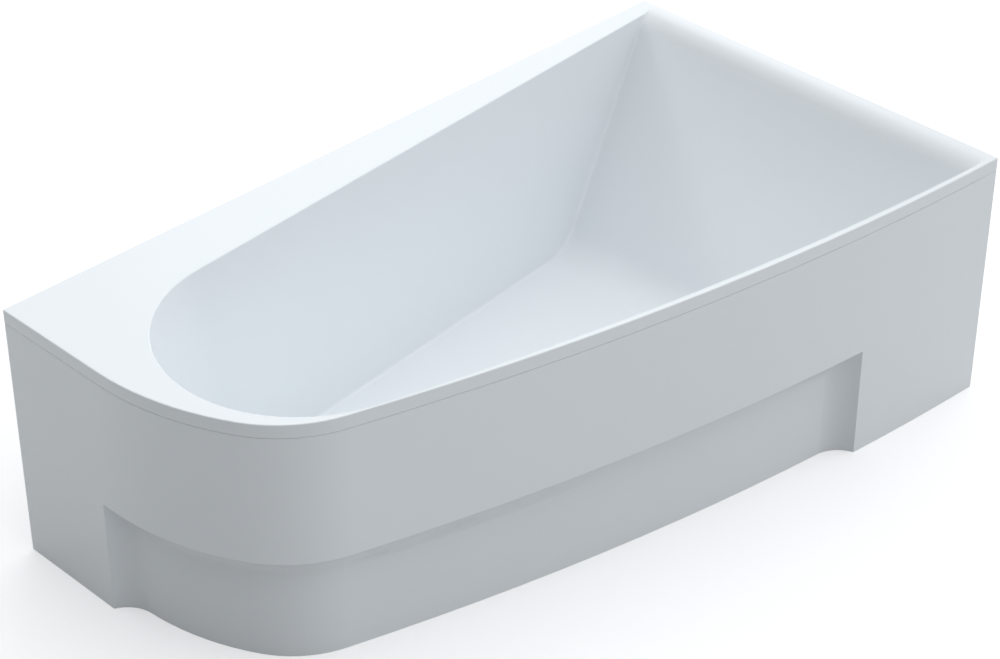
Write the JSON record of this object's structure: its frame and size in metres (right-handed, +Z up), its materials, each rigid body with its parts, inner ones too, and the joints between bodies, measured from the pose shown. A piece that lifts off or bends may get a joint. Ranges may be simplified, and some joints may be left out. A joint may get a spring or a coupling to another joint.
{
  "type": "corner bathtub",
  "caption": "Asymmetric corner bathtub with a tapering bowl, a sloped backrest and a curved front panel with a toe recess, on adjustable screw feet.",
  "frame": {"origin": "middle of the footprint at floor level", "axes": "+X towards the short wall at the backrest end, +Y towards the long wall, +Z up"},
  "size_m": [1.7, 0.94, 0.55],
  "materials": {
    "shell_acrylic": "glossy cool white",
    "panel_acrylic": "satin cool white",
    "laminate": "rough glass-fibre laminate",
    "board_wood": "raw pressed board",
    "batten_wood": "raw planed softwood",
    "zinc_steel": "zinc plated",
    "pad_plastic": "moulded, matt black",
    "magnet_shell": "dark coated pot magnet",
    "seal_rubber": "matt black",
    "chrome_trim": "polished chrome",
    "pipe_plastic": "moulded, white",
    "spindle_brass": "machined",
    "cable_sheath": "extruded sheath"
  },
  "bodies": {
    "tub": {"acrylic_shell": "shell_acrylic", "laminate_backing": "laminate", "base_board": "board_wood", "left_leg_rail": "zinc_steel", "right_leg_rail": "zinc_steel", "rail_screws": "zinc_steel", "rail_nuts": "zinc_steel", "lock_nuts": "zinc_steel", "back_bracket_left": "zinc_steel", "back_bracket_right": "zinc_steel", "end_bracket": "zinc_steel", "back_rim_batten": "batten_wood", "panel_bracket_left": "zinc_steel", "panel_bracket_right": "zinc_steel", "panel_magnets": "magnet_shell", "bracket_bolts": "zinc_steel", "bracket_nuts": "zinc_steel", "waste_top_seal": "seal_rubber", "waste_lower_seal": "seal_rubber", "waste_flange": "chrome_trim", "waste_body": "pipe_plastic", "trap_body": "pipe_plastic", "trap_cup": "pipe_plastic", "trap_nut": "pipe_plastic", "outlet_pipe": "pipe_plastic", "outlet_nut": "pipe_plastic", "outlet_seal": "seal_rubber", "overflow_plate": "chrome_trim", "overflow_seal": "seal_rubber", "overflow_body": "pipe_plastic", "overflow_screws": "zinc_steel", "overflow_pipe": "pipe_plastic", "pipe_nut_upper": "pipe_plastic", "pipe_nut_lower": "pipe_plastic", "control_cable": "cable_sheath"},
    "knob": {"overflow_knob": "chrome_trim", "knob_spindle": "spindle_brass", "cable_drum": "pipe_plastic"},
    "plug": {"waste_plug": "chrome_trim", "plug_seal": "seal_rubber", "plug_stem": "spindle_brass"},
    "panel": {"front_panel": "panel_acrylic", "panel_keepers": "zinc_steel"},
    "pad_1": {"foot_pad_1": "pad_plastic"},
    "rod_1": {"foot_rod_1": "zinc_steel"},
    "pad_2": {"foot_pad_2": "pad_plastic"},
    "rod_2": {"foot_rod_2": "zinc_steel"},
    "pad_3": {"foot_pad_3": "pad_plastic"},
    "rod_3": {"foot_rod_3": "zinc_steel"},
    "pad_4": {"foot_pad_4": "pad_plastic"},
    "rod_4": {"foot_rod_4": "zinc_steel"}
  },
  "joints": [
    {"name": "knob_turn", "type": "hinge", "parent": "tub", "child": "knob", "pos_m": [-0.76144, 0.047, 0.462], "axis": [0.9914, 0, 0.1305], "range_deg": [0, 100]},
    {"name": "plug_lift", "type": "slide", "parent": "tub", "child": "plug", "axis": [0, 0, 1], "range_m": [0, 0.009]},
    {"name": "panel_pull", "type": "slide", "parent": "tub", "child": "panel", "axis": [-0.7071, -0.7071, 0], "range_m": [0, 0.3]},
    {"name": "pad_1_drop", "type": "slide", "parent": "tub", "child": "pad_1", "axis": [0.0192, 0, -0.9998], "range_m": [0, 0.015]},
    {"name": "rod_1_turn", "type": "hinge", "parent": "pad_1", "child": "rod_1", "pos_m": [-0.3282, -0.13, 0.01], "axis": [-0.0192, 0, 0.9998], "range_deg": [0, 3600]},
    {"name": "pad_2_drop", "type": "slide", "parent": "tub", "child": "pad_2", "axis": [0.0192, 0, -0.9998], "range_m": [0, 0.015]},
    {"name": "rod_2_turn", "type": "hinge", "parent": "pad_2", "child": "rod_2", "pos_m": [-0.3282, 0.19, 0.01], "axis": [-0.0192, 0, 0.9998], "range_deg": [0, 3600]},
    {"name": "pad_3_drop", "type": "slide", "parent": "tub", "child": "pad_3", "axis": [0.0192, 0, -0.9998], "range_m": [0, 0.015]},
    {"name": "rod_3_turn", "type": "hinge", "parent": "pad_3", "child": "rod_3", "pos_m": [0.33192, -0.255, 0.01], "axis": [-0.0192, 0, 0.9998], "range_deg": [0, 3600]},
    {"name": "pad_4_drop", "type": "slide", "parent": "tub", "child": "pad_4", "axis": [0.0192, 0, -0.9998], "range_m": [0, 0.015]},
    {"name": "rod_4_turn", "type": "hinge", "parent": "pad_4", "child": "rod_4", "pos_m": [0.33192, 0.255, 0.01], "axis": [-0.0192, 0, 0.9998], "range_deg": [0, 3600]}
  ],
  "couplings": [
    {"joint": "plug_lift", "follows": "knob_turn", "m_per_rad": 0.0051566},
    {"joint": "rod_1_turn", "follows": "pad_1_drop", "rad_per_m": 4188.7},
    {"joint": "rod_2_turn", "follows": "pad_2_drop", "rad_per_m": 4188.7},
    {"joint": "rod_3_turn", "follows": "pad_3_drop", "rad_per_m": 4188.7},
    {"joint": "rod_4_turn", "follows": "pad_4_drop", "rad_per_m": 4188.7}
  ]
}
